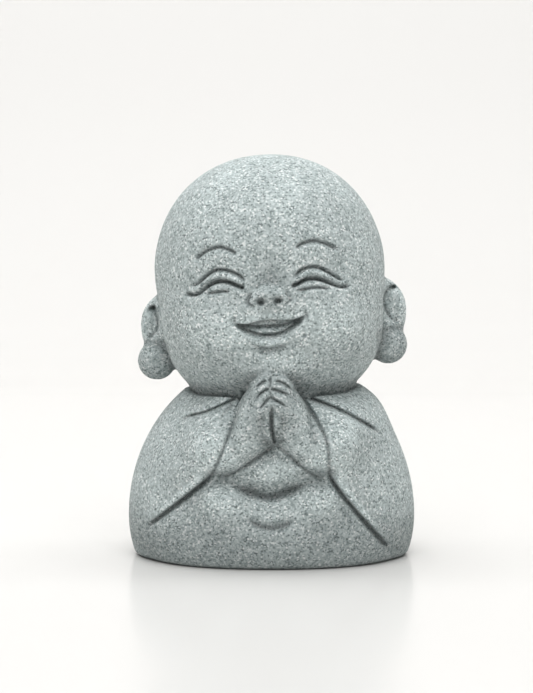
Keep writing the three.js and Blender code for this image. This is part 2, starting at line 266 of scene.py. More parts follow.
def bell_front(x, z):
    """Where the plain bell's front is, at places seen from the front."""
    share = np.maximum(bell_share(z), 1e-6)
    across = np.clip(np.abs(x) / (share * BODY_HALF_WIDTH), 0.0, 1.0)
    return -share * BODY_HALF_DEPTH * (1.0 - across**BELL_PLAN) ** (1.0 / BELL_PLAN)


def robe_relief(x, z, y):
    front = smooth_rise(-y, *FRONT_BLEND)
    return front * swelling(ROBE_SWELLINGS, x, z) + swelling([RIGHT_SHOULDER], x, z)


# %% The lap inside the robe's opening
LEFT_HEM = [(-8.4, 41.0), (-10.6, 33.0), (-14.1, 24.3), (-19.7, 18.8), (-29.2, 10.5)]
RIGHT_HEM = [(8.1, 41.0), (12.8, 33.5), (14.3, 24.0), (18.5, 16.5), (27.7, 4.7)]
LAP_INSET = 1.7
LAP_FADE_X = (17.0, 29.0)
LAP_FADE_Z = (2.0, 17.0)
LAP_DIP = 1.5
LAP_DIP_REACH = 6.0
CHEST_FROM_Z = (23.0, 31.0)
U_LINE_BOTTOM = 17.6
U_LINE_RISE = 4.2
U_LINE_HALF_WIDTH = 11.0
HEM_EDGE = 0.35
CUFF_HEIGHT = 3.6  # the robe bunches up against the wrists
CUFF_REACH = 6.0
CUFF_FROM_Z = (20.0, 32.0)
CLOSED_FROM_Z = (21.0, 25.5)  # higher up, the robe's two sides touch the arms
LAP_MOUNDS = [(-13.0, 17.0, 2.0, 5.0, 4.5), (13.0, 17.5, 2.0, 5.0, 4.5)]


def u_line_height(x):
    """How high the U-shaped line between the belly and the lap is."""
    return U_LINE_BOTTOM + U_LINE_RISE * (x / U_LINE_HALF_WIDTH) ** 2


def in_opening(x, z):
    """1 inside the robe's opening, 0 outside, with a short slope at the hems."""
    left_gap, left_side, _ = nearest(smooth_line(LEFT_HEM), x, z)
    right_gap, right_side, _ = nearest(smooth_line(RIGHT_HEM), x, z)
    inside = smooth_rise(left_gap * left_side, -HEM_EDGE, HEM_EDGE)
    return inside * smooth_rise(-right_gap * right_side, -HEM_EDGE, HEM_EDGE)


def cuffs(x, z):
    """The robe rises to a soft roll beside the hands, along the upper part of each hem."""
    gaps = [nearest(smooth_line(hem), x, z)[0] for hem in (LEFT_HEM, RIGHT_HEM)]
    return CUFF_HEIGHT * smooth_rise(z, *CUFF_FROM_Z) * np.exp(-((np.minimum(*gaps) / CUFF_REACH) ** 2))


def lap_drop(x, z):
    """How much lower than the plain bell the lap and the chest are."""
    across = 1.0 - smooth_rise(np.abs(x), *LAP_FADE_X)
    line = u_line_height(x)
    dip = smooth_rise(z, line - LAP_DIP_REACH, line) * (1.0 - smooth_rise(z, *CHEST_FROM_Z))
    return LAP_INSET * across * smooth_rise(z, *LAP_FADE_Z) + LAP_DIP * dip - swelling(LAP_MOUNDS, x, z)


# %% Turn the body
RING_GAP = 0.6
BODY_STEPS = 300

body = bmesh.new()
heights = np.arange(0.0, BELL_TOP, RING_GAP)
profile = [body.verts.new((0.0, 0.0, 0.0))]
profile += [body.verts.new((1.0, 0.0, height)) for height in heights]
profile.append(body.verts.new((0.0, 0.0, BELL_TOP)))
edges = [body.edges.new(pair) for pair in zip(profile, profile[1:])]
bmesh.ops.spin(
    body, geom=profile + edges, cent=(0, 0, 0), axis=(0, 0, 1), angle=math.tau, steps=BODY_STEPS, use_merge=True
)
bmesh.ops.remove_doubles(body, verts=body.verts, dist=1e-5)


def body_radius(along_x, along_y, height):
    """The body's distance from its upright axis, in a direction and at a height."""
    plan = (np.abs(along_x) / BODY_HALF_WIDTH) ** BELL_PLAN + (np.abs(along_y) / BODY_HALF_DEPTH) ** BELL_PLAN
    plain = bell_share(height) * plan ** (-1.0 / BELL_PLAN)
    front_x, front_y = plain * along_x, plain * along_y
    facing = smooth_rise(-front_y, *FRONT_BLEND)
    opening = in_opening(front_x, height) * facing * (1.0 - smooth_rise(height, *CLOSED_FROM_Z))
    robe = robe_relief(front_x, height, front_y) + cuffs(front_x, height) * facing
    relief = robe * (1.0 - opening) - lap_drop(front_x, height) * opening
    foot = FOOT_ROUNDING * (1.0 - np.sqrt(np.clip(1.0 - (1.0 - height / FOOT_ROUNDING) ** 2, 0.0, 1.0)))
    recess = facing * FOOT_RECESS * np.clip(1.0 - height / FOOT_RECESS_HEIGHT, 0.0, 1.0) ** 2
    return plain + relief - recess - np.where(height < FOOT_ROUNDING, foot, 0.0)


def as_body(places):
    x, y, z = places.T
    reach = np.hypot(x, y)
    wall = reach > 0.5
    along_x, along_y = x[wall] / reach[wall], y[wall] / reach[wall]
    radius = body_radius(along_x, along_y, z[wall])
    result = places.copy()
    result[wall, 0], result[wall, 1] = radius * along_x, radius * along_y
    return result


shape(body, as_body)
put_in_block(body, "robed_body")

# %% [markdown]
# ## Belly, forearms and hands
# The belly is a round mass between the forearms and the lap. Each forearm comes out of its sleeve, bends
# up, and narrows to a hand. The two hands meet palm to palm, and the fingers lie as a chevron in front.

# %% Belly, arms and fingers
BELLY_AT = (0.0, -16.8, 24.2)
BELLY_HALF = (17.0, 10.8, 9.4)
PALMS_AT = (0.1, -27.0, 38.2)
PALMS_HALF = (4.4, 5.0, 8.4)
ARM_PATH = [(17.0, -15.5, 23.5), (11.0, -22.5, 27.0), (5.4, -25.6, 32.0), (4.2, -25.4, 38.4),
            (2.4, -25.6, 44.0), (1.4, -26.2, 46.4)]
ARM_WIDTHS = [4.6, 5.3, 5.5, 4.4, 2.9, 1.8]
ARM_DEPTHS = [4.6, 4.9, 4.9, 6.3, 5.1, 2.8]
FINGER_RADIUS = 1.38
FINGERS = [
    ((-0.7, -30.2, 41.4), (4.2, -30.2, 37.4)),
    ((-0.7, -30.2, 43.3), (4.8, -29.6, 39.8)),
    ((-0.6, -29.8, 45.1), (5.2, -28.6, 42.0)),
    ((-0.3, -29.0, 46.6), (5.2, -27.4, 44.2)),
]
FINGER_BULGE = 0.6

ball("belly", BELLY_AT, BELLY_HALF)
ball("between_the_palms", PALMS_AT, PALMS_HALF)
for side, name in ((-1.0, "left"), (1.0, "right")):
    mirror = np.array((side, 1.0, 1.0))
    roll(f"{name}_arm", ARM_PATH * mirror, ARM_WIDTHS, ARM_DEPTHS, straight_ahead, blunt=0.5)
    for number, (tip, root) in enumerate(FINGERS, 1):
        middle = (np.array(tip) + root) / 2.0 + (0.0, -FINGER_BULGE, FINGER_BULGE)
        path = np.array([tip, middle, root]) * mirror
        radii = [FINGER_RADIUS, FINGER_RADIUS]
        roll(f"{name}_finger_{number}", path, radii, radii, straight_ahead, blunt=0.6, around=16, rings=16)

# %% [markdown]
# ## The head
# The head is a ball with its own frame, which leans a little to one side. Its form is a little squarer at
# the jaw than at the crown, with full cheeks, a soft chin, and shallow sockets for the eyes. A ball of
# even triangles has no poles on the face, so it is the better start for a head than a globe.

# %% The head's form
HEAD_HALF_WIDTH = 28.7
HEAD_HALF_DEPTH = 28.5
HEAD_RISE = 29.9
HEAD_DROP = 32.5
HEAD_AT = np.array((-0.4, -1.5, FIGURE_HEIGHT - HEAD_RISE))
HEAD_TILT = math.radians(3.5)
HEAD_PLAN = 2.15
CROWN_ROUNDNESS = 2.12
JAW_ROUNDNESS = 2.8
CROWN_BLEND = (-0.35, 0.35)
FACE_BLEND = (0.1, 0.6)
FACE_MIDDLE = -0.35
FACE_SWELLINGS = [
    (-14.5, -11.0, 2.3, 8.0, 7.0),
    (14.5, -11.0, 2.3, 8.0, 7.0),
    (0.0, -10.0, 0.8, 7.0, 5.0),
    (0.0, -21.0, 2.0, 7.0, 4.0),
    (0.0, 17.0, 0.6, 14.0, 9.0),
    (-12.0, 1.0, -0.7, 6.0, 4.0),
    (12.0, 1.0, -0.7, 6.0, 4.0),
    (0.0, 3.0, -0.8, 4.0, 5.0),
]
EAR_BEDS = [(0.0, -9.0, -1.2, 7.0, 6.0)]  # the head's sides are flatter where the ears lie, seen from the side
SIDE_BLEND = (0.5, 0.9)


def head_radius(direction):
    x, y, z = direction.T
    crown = smooth_rise(z, *CROWN_BLEND)
    roundness = JAW_ROUNDNESS + (CROWN_ROUNDNESS - JAW_ROUNDNESS) * crown
    vertical = np.abs(z) / np.where(z > 0.0, HEAD_RISE, HEAD_DROP)
    plan = (np.abs(x) / HEAD_HALF_WIDTH) ** HEAD_PLAN + (np.abs(y) / HEAD_HALF_DEPTH) ** HEAD_PLAN
    plan = plan ** (1.0 / HEAD_PLAN)
    plain = (plan**roundness + vertical**roundness) ** (-1.0 / roundness)
    face = smooth_rise(-y, *FACE_BLEND) * swelling(FACE_SWELLINGS, plain * x, plain * z)
    return plain + face + smooth_rise(np.abs(x), *SIDE_BLEND) * swelling(EAR_BEDS, plain * y, plain * z)


def head_to_figure(places):
    """From the head's own frame to the figure's: a lean about the line of sight, then the head's place."""
    x, y, z = places.T
    cos, sin = math.cos(HEAD_TILT), math.sin(HEAD_TILT)
    return np.stack([x * cos - z * sin, y, x * sin + z * cos], axis=1) + HEAD_AT


def figure_to_head(places):
    x, y, z = (places - HEAD_AT).T
    cos, sin = math.cos(HEAD_TILT), math.sin(HEAD_TILT)
    return np.stack([x * cos + z * sin, y, z * cos - x * sin], axis=1)


def on_face(x, z, lift):
    """A place on the face, given by what the front view shows, lifted outwards or sunk."""
    place = np.array([[x, -HEAD_HALF_DEPTH, z]])
    for _ in range(24):
        radius = head_radius(place / np.linalg.norm(place))[0]
        place[0, 1] = -math.sqrt(max(radius**2 - x**2 - z**2, 0.0))
    return place[0] * (1.0 + lift / np.linalg.norm(place[0]))


HEAD_SUBDIVISIONS = 7
skull = bmesh.new()
bmesh.ops.create_icosphere(skull, subdivisions=HEAD_SUBDIVISIONS, radius=1.0)
shape(skull, lambda unit: head_to_figure(unit * head_radius(unit)[:, None]))
put_in_block(skull, "head")

# %% The nose's tip and its two wings
NOSE_TIP = (FACE_MIDDLE, -3.7, 0.3, (3.6, 2.5, 2.4))
NOSE_WINGS = [
    (-3.4 + FACE_MIDDLE, -4.6, 0.2, (2.1, 2.0, 2.0)),
    (3.3 + FACE_MIDDLE, -4.6, 0.2, (2.1, 2.0, 2.0)),
]
for number, (x, z, lift, half) in enumerate([NOSE_TIP, *NOSE_WINGS]):
    middle = head_to_figure(on_face(x, z, lift)[None])[0]
    ball(f"nose_{number}", middle, half, sides=20, rings=16)

# %% [markdown]
# ## The ears
# Each ear is a flat shell that faces forwards and outwards, over a heavy round lobe. Both start as balls
# with their own half sizes. The bowl of the ear is carved later, when the skin is one.

# %% The ears
EAR_YAW = math.radians(38.0)
EAR_SHELL_HALF = (6.3, 3.0, 8.4)
EAR_TOP_SLANT = 0.2
EAR_NECK_HALF = (4.4, 2.2, 3.4)
EAR_LOBE_HALF = (5.0, 4.6, 4.9)
# Each ear's shell, neck and lobe. The mould's two ears aren't quite alike.
EARS = [
    ("left", -1.0, (27.7, 2.6, -11.4), (29.1, 3.0, -17.2), (29.3, 2.6, -19.9)),
    ("right", 1.0, (28.9, 2.6, -10.6), (29.4, 3.0, -16.2), (28.9, 2.6, -19.4)),
]


def ear_part(name, side, at, half, slant=0.0):
    piece = bmesh.new()
    bmesh.ops.create_uvsphere(piece, u_segments=64, v_segments=48, radius=1.0)

    def move(unit):
        x, y, z = (unit * half).T
        x = x - slant * np.maximum(z, 0.0) ** 2 / half[2]
        cos, sin = math.cos(EAR_YAW), math.sin(EAR_YAW)
        turned = np.stack([x * cos - y * sin, x * sin + y * cos, z], axis=1) + at
        return head_to_figure(turned * (side, 1.0, 1.0) + (FACE_MIDDLE, 0.0, 0.0))

    shape(piece, move)
    put_in_block(piece, name)


for name, side, shell_at, neck_at, lobe_at in EARS:
    ear_part(f"{name}_ear_shell", side, shell_at, EAR_SHELL_HALF, EAR_TOP_SLANT)
    ear_part(f"{name}_ear_neck", side, neck_at, EAR_NECK_HALF)
    ear_part(f"{name}_ear_lobe", side, lobe_at, EAR_LOBE_HALF)

# %% [markdown]
# ## One skin
# The masses overlap, as lumps of clay pressed together do. A voxel remesh joins them to one closed skin of
# even small squares. That skin is smoothed, most where the real cast has soft junctions, and less at the
# hands, the hems and the ears, which stay crisp.

# %% Join the masses
SKIN_GRAIN = 0.55  # side of a square of the skin


def modified(mesh, kind, **settings):
    """What one modifier makes of a mesh."""
    holder = put_in_scene("holder", mesh)
    modifier = holder.modifiers.new("one step", kind)
    for key, value in settings.items():
        setattr(modifier, key, value)
    bpy.context.view_layer.update()
    result = bpy.data.meshes.new_from_object(holder.evaluated_get(bpy.context.evaluated_depsgraph_get()))
    bpy.data.objects.remove(holder)
    return result


block_mesh = bpy.data.meshes.new("block")
block.to_mesh(block_mesh)
block.free()
skin = modified(block_mesh, "REMESH", mode="VOXEL", voxel_size=SKIN_GRAIN)
bpy.data.meshes.remove(block_mesh)
print("the skin has", len(skin.vertices), "points and", len(skin.polygons), "faces")


# %% Where the carving is fine
def places_of(mesh):
    flat = np.empty(len(mesh.vertices) * 3)
    mesh.vertices.foreach_get("co", flat)
    return flat.reshape(-1, 3)


def normals_of(mesh):
    flat = np.empty(len(mesh.vertices) * 3, np.float32)
    mesh.vertex_normals.foreach_get("vector", flat)
    return flat.reshape(-1, 3).astype(float)


def set_places(mesh, places):
    mesh.vertices.foreach_set("co", places.ravel())
    mesh.update()


SHOULDER_FOLDS = [
    [(-7.4, 41.6), (-12.0, 39.5), (-16.0, 37.7), (-19.5, 36.5), (-23.5, 34.8)],
    [(8.4, 41.2), (12.9, 39.6), (17.1, 37.8), (21.2, 35.5), (24.7, 33.1), (28.0, 30.6)],
]
SMILE_FOLD = [(-7.0, 13.7), (-3.6, 11.2), (0.0, 10.4), (3.4, 11.2), (6.2, 13.4)]
FACE_BOXES = [  # where the face is carved: left, right, low, high, in the head's frame
    (-21.5, -4.5, -4.6, 4.4),
    (4.5, 21.0, -4.6, 4.0),
    (-19.0, -6.0, 4.6, 10.0),
    (6.0, 18.5, 4.6, 10.0),
    (-6.5, 5.8, -7.6, -0.6),
    (-10.8, 10.2, -17.4, -6.8),
]
FACE_FROM_Y = -12.0
FACE_LOWEST = -24.0
FACE_OVER_ROBE = 46.0
HANDS_BOX = (9.5, 29.0, 49.5, -22.0)  # half its width, its bottom and top, and the y it lies in front of
FOREARM_EDGES_BOX = (17.0, 20.0, 31.0, -20.0)
BELLY_AND_ARMS_BOX = (17.0, 16.0, 32.0, -18.0)
ROBE_FROM_Y = -5.0
ROBE_TOP = 44.0
ROBE_BEHIND_BELL = 6.0  # how far behind the plain bell's front the robe's lines may lie
EARS_FROM_X = 25.5
EARS_LOWEST, EARS_HIGHEST = -26.0, -1.0
NECK_AT_Z = 43.0
NECK_HALF_HEIGHT = 6.0
NECK_OFF_HEAD = 1.8
NECK_OFF_BODY = 2.6


def on_head(places):
    """True where a place belongs to the front of the head."""
    local = figure_to_head(places)
    return (local[:, 1] < FACE_FROM_Y) & (places[:, 2] > FACE_OVER_ROBE) & (local[:, 2] > FACE_LOWEST)


def near_face_lines(places):
    local = figure_to_head(places)
    across, up = local[:, 0] - FACE_MIDDLE, local[:, 2]
    inside = np.zeros(len(places), bool)
    for left, right, low, high in FACE_BOXES:
        inside |= (across > left) & (across < right) & (up > low) & (up < high)
    return inside & on_head(places)


def in_box(places, half_width, low, high, front):
    x, y, z = places.T
    return (np.abs(x) < half_width) & (z > low) & (z < high) & (y < front)


def near_robe_lines(places, reach):
    x, y, z = places.T
    close = np.zeros(len(places), bool)
    for line in (LEFT_HEM, RIGHT_HEM, *SHOULDER_FOLDS, SMILE_FOLD):
        close |= nearest(smooth_line(line), x, z)[0] < reach
    return close & (y < ROBE_FROM_Y) & (z < ROBE_TOP) & (y < bell_front(x, z) + ROBE_BEHIND_BELL)


def near_ears(places):
    local = figure_to_head(places)
    beside = np.abs(local[:, 0] - FACE_MIDDLE) > EARS_FROM_X
    return beside & (local[:, 2] < EARS_HIGHEST) & (local[:, 2] > EARS_LOWEST)


def head_gap(places):
    """How far outside the head's own form each place is."""
    local = figure_to_head(places)
    reach = np.linalg.norm(local, axis=1)
    return reach - head_radius(local / reach[:, None])


def body_gap(places):
    """How far outside the robed body's own form each place is, straight out from the upright axis."""
    x, y, z = places.T
    reach = np.maximum(np.hypot(x, y), 1e-6)
    return reach - body_radius(x / reach, y / reach, z)


def near_neck(places):
    """Where the jaw rests on the robe."""
    level = np.abs(places[:, 2] - NECK_AT_Z) < NECK_HALF_HEIGHT
    return level & (np.abs(head_gap(places)) < NECK_OFF_HEAD) & (np.abs(body_gap(places)) < NECK_OFF_BODY)


# %% Smooth the skin
def soften(mesh, passes, where):
    """Smooths the chosen points of a mesh a number of times."""
    work = bmesh.new()
    work.from_mesh(mesh)
    work.verts.ensure_lookup_table()
    chosen = [work.verts[index] for index in np.nonzero(where)[0]]
    for _ in range(passes):
        bmesh.ops.smooth_vert(work, verts=chosen, factor=0.5, use_axis_x=True, use_axis_y=True, use_axis_z=True)
    work.to_mesh(mesh)
    work.free()


places = places_of(skin)
ears = near_ears(places)
fine = in_box(places, *HANDS_BOX) | near_robe_lines(places, reach=2.0) | ears | near_neck(places)
soften(skin, passes=3, where=np.ones(len(places), bool))
soften(skin, passes=2, where=ears)
soften(skin, passes=8, where=~fine)
print("the plain parts were smoothed 11 times,", int(fine.sum()), "fine points 3 times and the ears 5 times")


# %% Finer squares where the carving goes
def refine(mesh, where):
    """Cuts each face in four whose points are all chosen."""
    work = bmesh.new()
    work.from_mesh(mesh)
    faces = [face for face in work.faces if all(where[point.index] for point in face.verts)]
    edges = list({edge for face in faces for edge in face.edges})
    bmesh.ops.subdivide_edges(work, edges=edges, cuts=1, use_grid_fill=True)
    work.to_mesh(mesh)
    work.free()
    mesh.update()


def carved_finely(places):
    fine = in_box(places, *HANDS_BOX) | in_box(places, *FOREARM_EDGES_BOX)
    return fine | near_robe_lines(places, reach=2.4) | near_ears(places) | near_neck(places)


places = places_of(skin)
refine(skin, near_face_lines(places) | carved_finely(places))
places = places_of(skin)
soften(skin, passes=2, where=near_face_lines(places))
soften(skin, passes=1, where=carved_finely(places))
print("the refined skin has", len(skin.vertices), "points")

# %% [markdown]
# ## The carving
# The lines of the face and the robe are pressed into the model with a rounded tool. A stroke is a smooth
# line with a width and a depth, and it runs out at both ends. On the face it moves the skin's points along
# the skin's own normals, so it works the same on the side of a cheek as in front. The lines' places were
# picked on the photograph, turned to millimetres with the camera above, and in part moved.

# %% The carving tool
def stroke(points, across, up, width, depth, fade=(0.25, 0.25), above=1.0, below=1.0):
    """How far a stroke presses each place in. Above and below widen its two flanks."""
    distance, side, share = nearest(smooth_line(points), across, up)
    reach = width * np.where(side > 0.0, above, below)
    ends = smooth_rise(share, 0.0, fade[0]) * smooth_rise(1.0 - share, 0.0, fade[1])
    return depth * ends * np.exp(-((distance / reach) ** 2))


def height_on(points, across):
    """The height of a line at places across it. The line's points go from left to right."""
    line = smooth_line(points)
    return np.interp(across, line[:, 0], line[:, 1])


def press(mesh, where, depths, straight_back=False):
    """Moves the chosen points of a mesh inwards along their normals, or straight to the back."""
    places, normals = places_of(mesh), normals_of(mesh)
    inwards = np.array((0.0, 1.0, 0.0)) if straight_back else -normals[where]
    places[where] += inwards * depths[:, None]
    set_places(mesh, places)


def face_view(mesh):
    """Which points are near the face's lines, and where the front view shows them."""
    places = places_of(mesh)
    where = near_face_lines(places)
    local = figure_to_head(places[where])
    return where, local[:, 0] - FACE_MIDDLE, local[:, 2]


# %% Brows and eyes
# Each line is given from left to right as the front view shows it, from the middle of the face.
BROWS = [
    [(-17.6, 5.5), (-16.4, 6.8), (-14.8, 7.9), (-13.0, 8.5), (-11.3, 8.7), (-9.6, 8.2), (-8.2, 7.5),
     (-7.0, 6.6)],
    [(6.7, 6.9), (8.1, 8.2), (9.9, 8.7), (11.8, 8.9), (13.6, 8.3), (15.3, 7.5), (17.4, 6.0)],
]
LID_CREASES = [
    [(-19.5, -0.7), (-17.4, -0.1), (-15.9, 1.0), (-14.2, 2.3), (-12.6, 3.0), (-10.9, 3.1), (-9.2, 2.6),
     (-7.6, 1.9), (-6.4, 1.0), (-5.4, 0.0)],
    [(5.6, -0.2), (7.0, 1.2), (8.4, 2.1), (10.5, 2.5), (12.2, 2.2), (13.9, 1.3), (15.6, 0.2),
     (17.2, -0.9), (18.6, -1.2)],
]
EYE_SLITS = [
    [(-20.7, -2.2), (-18.9, -2.6), (-17.1, -2.2), (-15.7, -1.2), (-14.2, -0.2), (-12.5, 0.4),
     (-10.7, 0.4), (-9.1, -0.1), (-7.4, -0.9), (-5.7, -1.6)],
    [(5.1, -1.8), (7.2, -1.1), (9.0, -0.3), (11.1, -0.2), (13.1, -0.7), (14.8, -1.5), (16.5, -2.3),
     (18.2, -2.8), (19.6, -2.6)],
]
UNDER_LINES = [
    [(-15.6, -2.4), (-13.7, -2.1), (-12.3, -2.0), (-10.9, -1.9), (-9.0, -2.1)],
    [(5.9, -2.4), (7.8, -2.6), (9.6, -2.4), (11.1, -2.3), (13.0, -2.5), (14.8, -3.0)],
]
LID_BULGE = 0.5
LID_ENDS = 2.0
LID_THINNEST = 0.2
OUTER_CORNER = (12.5, 17.5)
SLIT_LOSS = 0.4  # how much shallower the slit is past the outer corner, as a share
where, across, up = face_view(skin)
depths = np.zeros(len(across))
for brow in BROWS:
    depths += stroke(brow, across, up, width=0.52, depth=1.05, fade=(0.12, 0.12), above=0.8, below=1.3)
for crease, slit, under in zip(LID_CREASES, EYE_SLITS, UNDER_LINES):
    top, low = height_on(crease, across), height_on(slit, across)
    share = np.clip((up - low) / np.maximum(top - low, LID_THINNEST), 0.0, 1.0)
    left, right = max(crease[0][0], slit[0][0]), min(crease[-1][0], slit[-1][0])
    between = smooth_rise(across, left, left + LID_ENDS) * smooth_rise(-across, -right, -right + LID_ENDS)
    depths -= LID_BULGE * between * np.sin(math.pi * share)
    depths += stroke(crease, across, up, width=0.45, depth=1.15, fade=(0.2, 0.15))
    slit_depth = stroke(slit, across, up, width=0.55, depth=1.9, fade=(0.06, 0.06), above=1.0, below=0.8)
    depths += slit_depth * (1.0 - SLIT_LOSS * smooth_rise(np.abs(across), *OUTER_CORNER))
    depths -= stroke(under, across, up, width=0.9, depth=0.3, fade=(0.2, 0.2))
    depths += stroke(under, across, up, width=0.36, depth=1.1, fade=(0.2, 0.2), below=1.3)
press(skin, where, depths)
print("brows and eyes moved", int(where.sum()), "points by up to", round(float(depths.max()), 2), "mm")

# %% Nose
NOSTRILS = [(-2.2, -4.9, 1.2, 0.8), (1.9, -4.8, 1.3, 0.8)]
NOSTRIL_DEPTH = 2.6
NOSE_CREASES = [
    [(-3.6, -2.3), (-4.8, -3.0), (-5.5, -4.1), (-5.6, -5.0), (-4.8, -5.8), (-3.5, -5.9), (-2.6, -5.5)],
    [(3.1, -2.3), (4.2, -2.9), (5.0, -4.0), (5.2, -4.9), (4.5, -5.7), (3.2, -5.9), (2.3, -5.4)],
]
where, across, up = face_view(skin)
holes = [NOSTRIL_DEPTH * hill(across - x, up - z, wide, tall) for x, z, wide, tall in NOSTRILS]
press(skin, where, np.maximum.reduce(holes), straight_back=True)
depths = sum(stroke(crease, across, up, width=0.45, depth=1.15, fade=(0.25, 0.25)) for crease in NOSE_CREASES)
press(skin, where, depths)

# %% [markdown]
# The open smile is a crescent sunk into the face. Its upper edge is nearly straight, its corners are the
# deepest, and the tongue fills its lower half. The lower lip is a soft roll under it.

# %% Mouth
MOUTH_TOP = [(-8.9, -9.9), (-8.0, -9.8), (-5.9, -10.0), (-4.5, -9.7), (-2.5, -9.3), (-0.4, -9.2),
             (2.0, -9.4), (4.0, -9.5), (6.0, -9.4), (8.2, -8.7)]
MOUTH_LOW = [(-8.9, -10.2), (-7.4, -11.7), (-5.7, -12.7), (-4.1, -13.3), (-2.1, -13.8), (0.0, -13.9),
             (2.1, -13.6), (3.8, -12.9), (5.6, -11.9), (7.0, -10.9), (8.3, -9.0)]
MOUTH_LINE = [(-8.0, -10.6), (-4.6, -11.1), (-0.5, -11.3), (3.9, -11.0), (7.6, -9.8)]
MOUTH_LEFT, MOUTH_MIDDLE, MOUTH_RIGHT = -8.9, -0.4, 8.3
MOUTH_ENDS = 0.8
MOUTH_TOP_EDGE = (-0.15, 0.35)
MOUTH_LOW_EDGE = (-0.15, 0.4)
MOUTH_DEPTH = 1.7
CORNERS_FROM = (3.0, 6.0)
CORNERS_DEEPER = 0.5
TONGUE = (-0.6, -12.4, 0.8, 3.8, 0.9)
LOW_GROOVE_LIFT = 0.45
LIP_LINE = [(-5.5, -13.6), (-3.4, -14.5), (-0.6, -15.0), (2.7, -14.5), (5.0, -13.2)]
UNDER_LIP = [(-4.6, -15.2), (-3.0, -16.0), (-0.7, -16.5), (2.2, -16.0), (3.8, -15.2)]
SMILE_CORNERS = [
    [(-8.0, -7.4), (-8.7, -9.0), (-8.8, -10.4)],
    [(7.4, -7.0), (8.4, -8.4), (8.4, -9.6)],
]
where, across, up = face_view(skin)
top, low = height_on(MOUTH_TOP, across), height_on(MOUTH_LOW, across)
inside = smooth_rise(top - up, *MOUTH_TOP_EDGE) * smooth_rise(up - low, *MOUTH_LOW_EDGE)
ends = smooth_rise(across, MOUTH_LEFT, MOUTH_LEFT + MOUTH_ENDS)
ends *= smooth_rise(-across, -MOUTH_RIGHT, -MOUTH_RIGHT + MOUTH_ENDS)
inside *= ends
corners = smooth_rise(np.abs(across - MOUTH_MIDDLE), *CORNERS_FROM)
depths = inside * (MOUTH_DEPTH + CORNERS_DEEPER * corners - swelling([TONGUE], across, up))
depths += inside * stroke(MOUTH_LINE, across, up, width=0.5, depth=0.9, fade=(0.05, 0.05))
depths += inside * stroke(MOUTH_LOW, across, up - LOW_GROOVE_LIFT, width=0.4, depth=0.5, fade=(0.2, 0.2))
depths -= stroke(LIP_LINE, across, up, width=0.8, depth=1.1)
depths += stroke(UNDER_LIP, across, up, width=0.9, depth=0.5, fade=(0.4, 0.4))
for corner in SMILE_CORNERS:
    depths += stroke(corner, across, up, width=0.6, depth=0.7, fade=(0.6, 0.15))
press(skin, where, depths)
print("the mouth is up to", round(float(depths.max()), 2), "mm deep")

# %% [markdown]
# The robe's hems are undercut where they pass the lap, and the cloth's edge is a rounded roll. The sleeves
# bunch in a pressed fold on each shoulder, and the belly rests on the lap in two soft lines.

# %% Hems, folds and the lap's lines
HEM_GROOVES = [
    [(-6.6, 43.0), (-7.9, 39.6), (-9.2, 35.6), (-11.4, 30.2), (-13.9, 24.0), (-15.2, 22.2),
     (-19.0, 18.8), (-24.6, 14.1), (-30.6, 8.9)],
    [(7.0, 42.8), (8.6, 39.6), (10.8, 36.2), (12.9, 32.2), (13.7, 27.6), (13.9, 23.4), (15.6, 20.0),
     (19.8, 14.6), (24.2, 9.2), (28.9, 3.4)],
]
DEEP_HEMS = (20.5, 24.0)  # below this height the hems are undercut
DEEP_GAPS = (33.0, 39.0)  # above this height the robe stands away from the hands
HEM_STRENGTH = 0.9
HEM_STRENGTH_ADDED = 1.3
HEM_ROLL_OFF = 0.9  # how far outside the groove the hem's rolled edge runs
FOLD_DEPTHS = (2.0, 2.6)
FRONT_FROM_Y = -6.0
SMALL_CREASE = [(-9.4, 39.8), (-11.2, 38.2), (-13.4, 35.8)]
U_LINE = [(-11.5, 22.4), (-7.6, 19.6), (-4.0, 18.0), (-0.6, 17.4), (3.0, 18.2), (6.8, 20.0), (11.3, 22.4)]


def in_front(places):
    """The points of the body's front below the neck."""
    return (places[:, 1] < FRONT_FROM_Y) & (places[:, 2] < ROBE_TOP)


places = places_of(skin)
where = in_front(places)
x, y, z = places[where].T
depths = np.zeros(len(x))
undercut = 1.0 - smooth_rise(z, *DEEP_HEMS)
gap = smooth_rise(z, *DEEP_GAPS)
for groove, outside in zip(HEM_GROOVES, (-1.0, 1.0)):
    strength = HEM_STRENGTH + HEM_STRENGTH_ADDED * np.maximum(undercut, gap)
    depths += strength * stroke(groove, x, z, width=0.55, depth=1.0, fade=(0.02, 0.06))
    edge = [(px + outside * HEM_ROLL_OFF, pz + HEM_ROLL_OFF) for px, pz in groove]
    depths -= undercut * stroke(edge, x, z, width=0.9, depth=0.6, fade=(0.1, 0.2))
outside = 1.0 - in_opening(x, z)
for fold, depth in zip(SHOULDER_FOLDS, FOLD_DEPTHS):
    depths += outside * stroke(fold, x, z, width=0.45, depth=depth, fade=(0.02, 0.35), above=1.4, below=0.9)
depths += outside * stroke(SMALL_CREASE, x, z, width=0.5, depth=1.0, fade=(0.1, 0.7))
depths += stroke(SMILE_FOLD, x, z, width=0.9, depth=1.0, fade=(0.25, 0.25), above=1.8, below=0.8)
depths += stroke(U_LINE, x, z, width=0.8, depth=0.7, fade=(0.25, 0.25))
depths += stroke(U_LINE, x, z, width=2.6, depth=1.3, fade=(0.3, 0.3), below=0.3)
press(skin, where, depths, straight_back=True)

